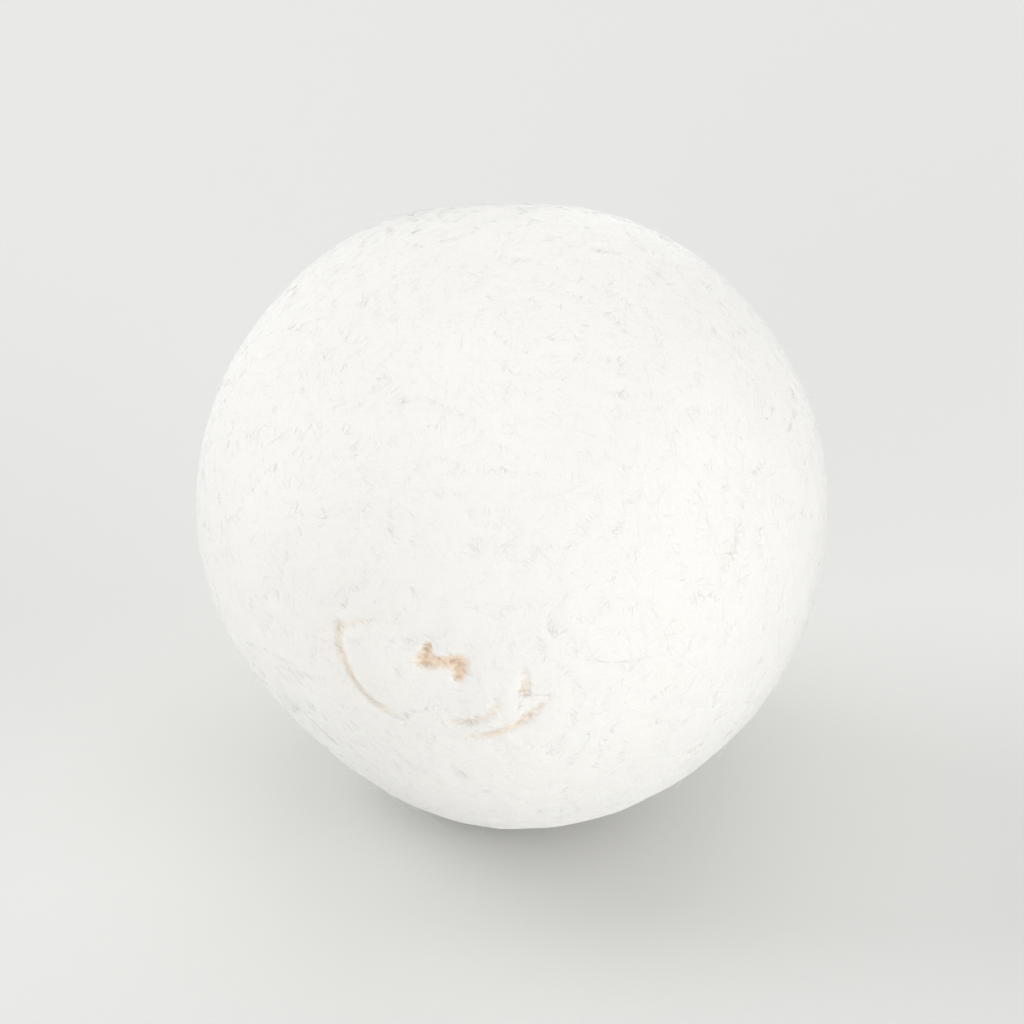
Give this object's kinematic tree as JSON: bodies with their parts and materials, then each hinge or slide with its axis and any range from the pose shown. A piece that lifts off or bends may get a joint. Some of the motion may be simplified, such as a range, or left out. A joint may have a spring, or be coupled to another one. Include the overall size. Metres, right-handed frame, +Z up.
{
  "type": "cotton ball",
  "caption": "Firm, nearly round ball of pressed cotton fibre for crafts, with a pinched spindle hole at its front and a broken crease round the mouth.",
  "frame": {"origin": "centre of the ball, within 0.2 mm of the centre of its box", "axes": "-Y points out of the mouth of the spindle hole, +Z is up, and +X is to the right as seen from in front"},
  "size_m": [0.0299, 0.0295, 0.03],
  "materials": {
    "cotton": "bleached cotton fibre, wound and pressed hard; near white, slightly warm, fully matt"
  },
  "bodies": {
    "root": {"cotton_ball": "cotton"}
  },
  "joints": []
}
